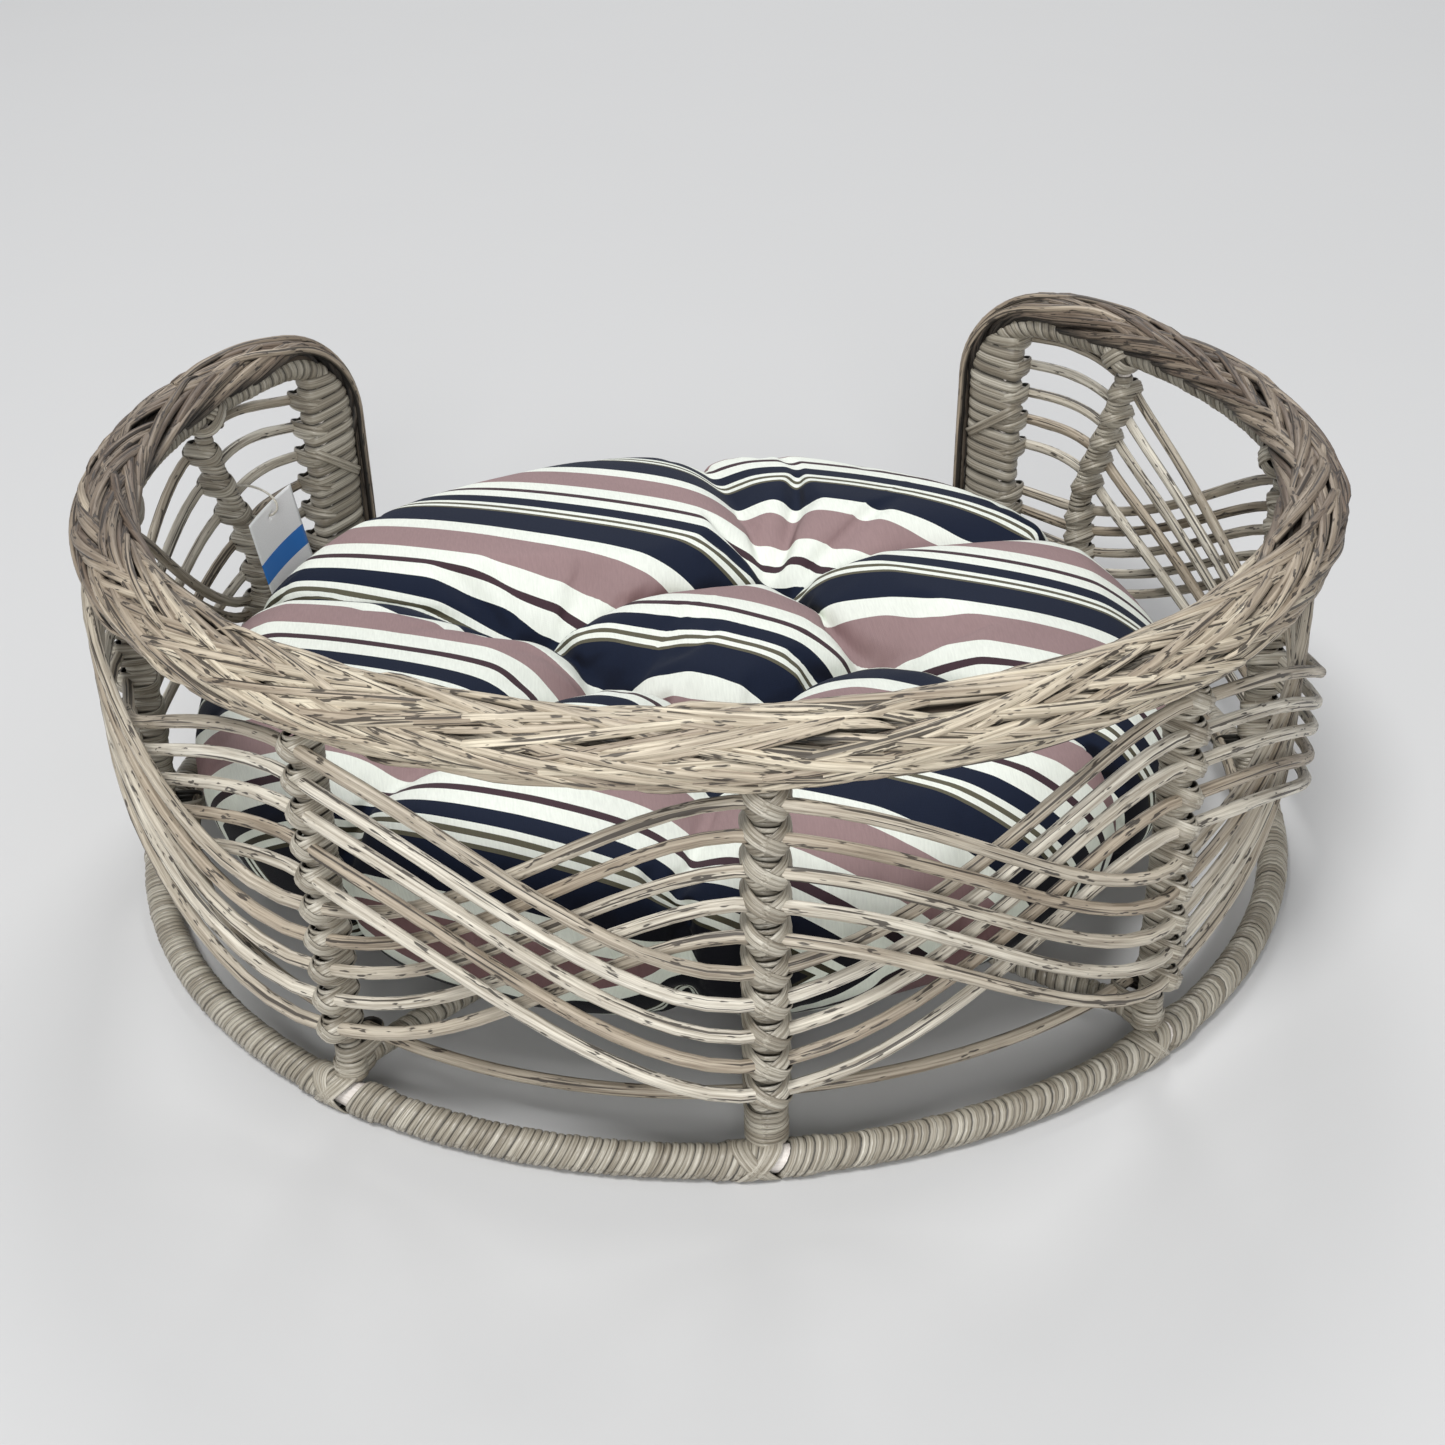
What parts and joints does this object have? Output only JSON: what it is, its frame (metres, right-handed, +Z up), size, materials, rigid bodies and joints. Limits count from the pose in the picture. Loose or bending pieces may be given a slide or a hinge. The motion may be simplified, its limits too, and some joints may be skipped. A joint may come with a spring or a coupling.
{
  "type": "wicker pet bed basket",
  "caption": "Round wicker pet bed: wrapped base ring, posts, waved willow rods, plaited rim with a wide entrance, and a loose tufted striped cushion.",
  "frame": {"origin": "on the floor, under the middle of the base ring", "axes": "+Z up, +Y out through the middle of the entrance, -Y towards the high back, +X to the left of somebody who looks in at the entrance from +Y"},
  "size_m": [0.7262, 0.7214, 0.2585],
  "materials": {
    "rattan_pole": "matte",
    "rattan_peel": "satin",
    "willow_rod": "satin",
    "willow_plait": "satin",
    "striped_print": "matte",
    "fibre_filling": "matte",
    "tag_card": "matte",
    "string": "matte"
  },
  "bodies": {
    "basket": {"base_ring_pole": "rattan_pole", "base_ring_wrap": "rattan_peel", "floor_hoop": "willow_rod", "stretcher_1": "rattan_peel", "stretcher_2": "rattan_peel", "post_pole_1": "rattan_pole", "post_pole_2": "rattan_pole", "post_pole_3": "rattan_pole", "post_pole_4": "rattan_pole", "post_pole_5": "rattan_pole", "post_pole_6": "rattan_pole", "post_pole_7": "rattan_pole", "post_wrap_1": "rattan_peel", "post_wrap_2": "rattan_peel", "post_wrap_3": "rattan_peel", "post_wrap_4": "rattan_peel", "post_wrap_5": "rattan_peel", "post_wrap_6": "rattan_peel", "post_wrap_7": "rattan_peel", "top_hoop_pole": "rattan_pole", "top_hoop_wrap": "rattan_peel", "pillar_pole_left": "rattan_peel", "pillar_binding_left": "rattan_peel", "pillar_pole_right": "rattan_peel", "pillar_binding_right": "rattan_peel", "wave_rod_a1": "willow_rod", "wave_rod_a2": "willow_rod", "wave_rod_a3": "willow_rod", "wave_rod_a4": "willow_rod", "wave_rod_a5": "willow_rod", "wave_rod_b1": "willow_rod", "wave_rod_b2": "willow_rod", "wave_rod_b3": "willow_rod", "wave_rod_b4": "willow_rod", "wave_rod_b5": "willow_rod", "plaited_border": "willow_plait", "border_tail_left": "willow_plait", "border_tail_right": "willow_plait", "tag_loop": "string"},
    "cushion": {"cushion_cover_top": "striped_print", "cushion_cover_bottom": "striped_print", "cushion_filling": "fibre_filling", "tuft_tie_1": "string", "tuft_tie_2": "string", "tuft_tie_3": "string", "tuft_tie_4": "string", "tuft_tie_5": "string"},
    "tag": {"tag_card": "tag_card"}
  },
  "joints": [
    {"name": "cushion_slide", "type": "slide", "parent": "basket", "child": "cushion", "axis": [0, 0, 1], "range_m": [0, 0.28]},
    {"name": "tag_hinge", "type": "hinge", "parent": "basket", "child": "tag", "pos_m": [-0.27731, 0.17328, 0.149], "axis": [-0.5299, -0.848, 0], "range_deg": [0, 7]}
  ]
}
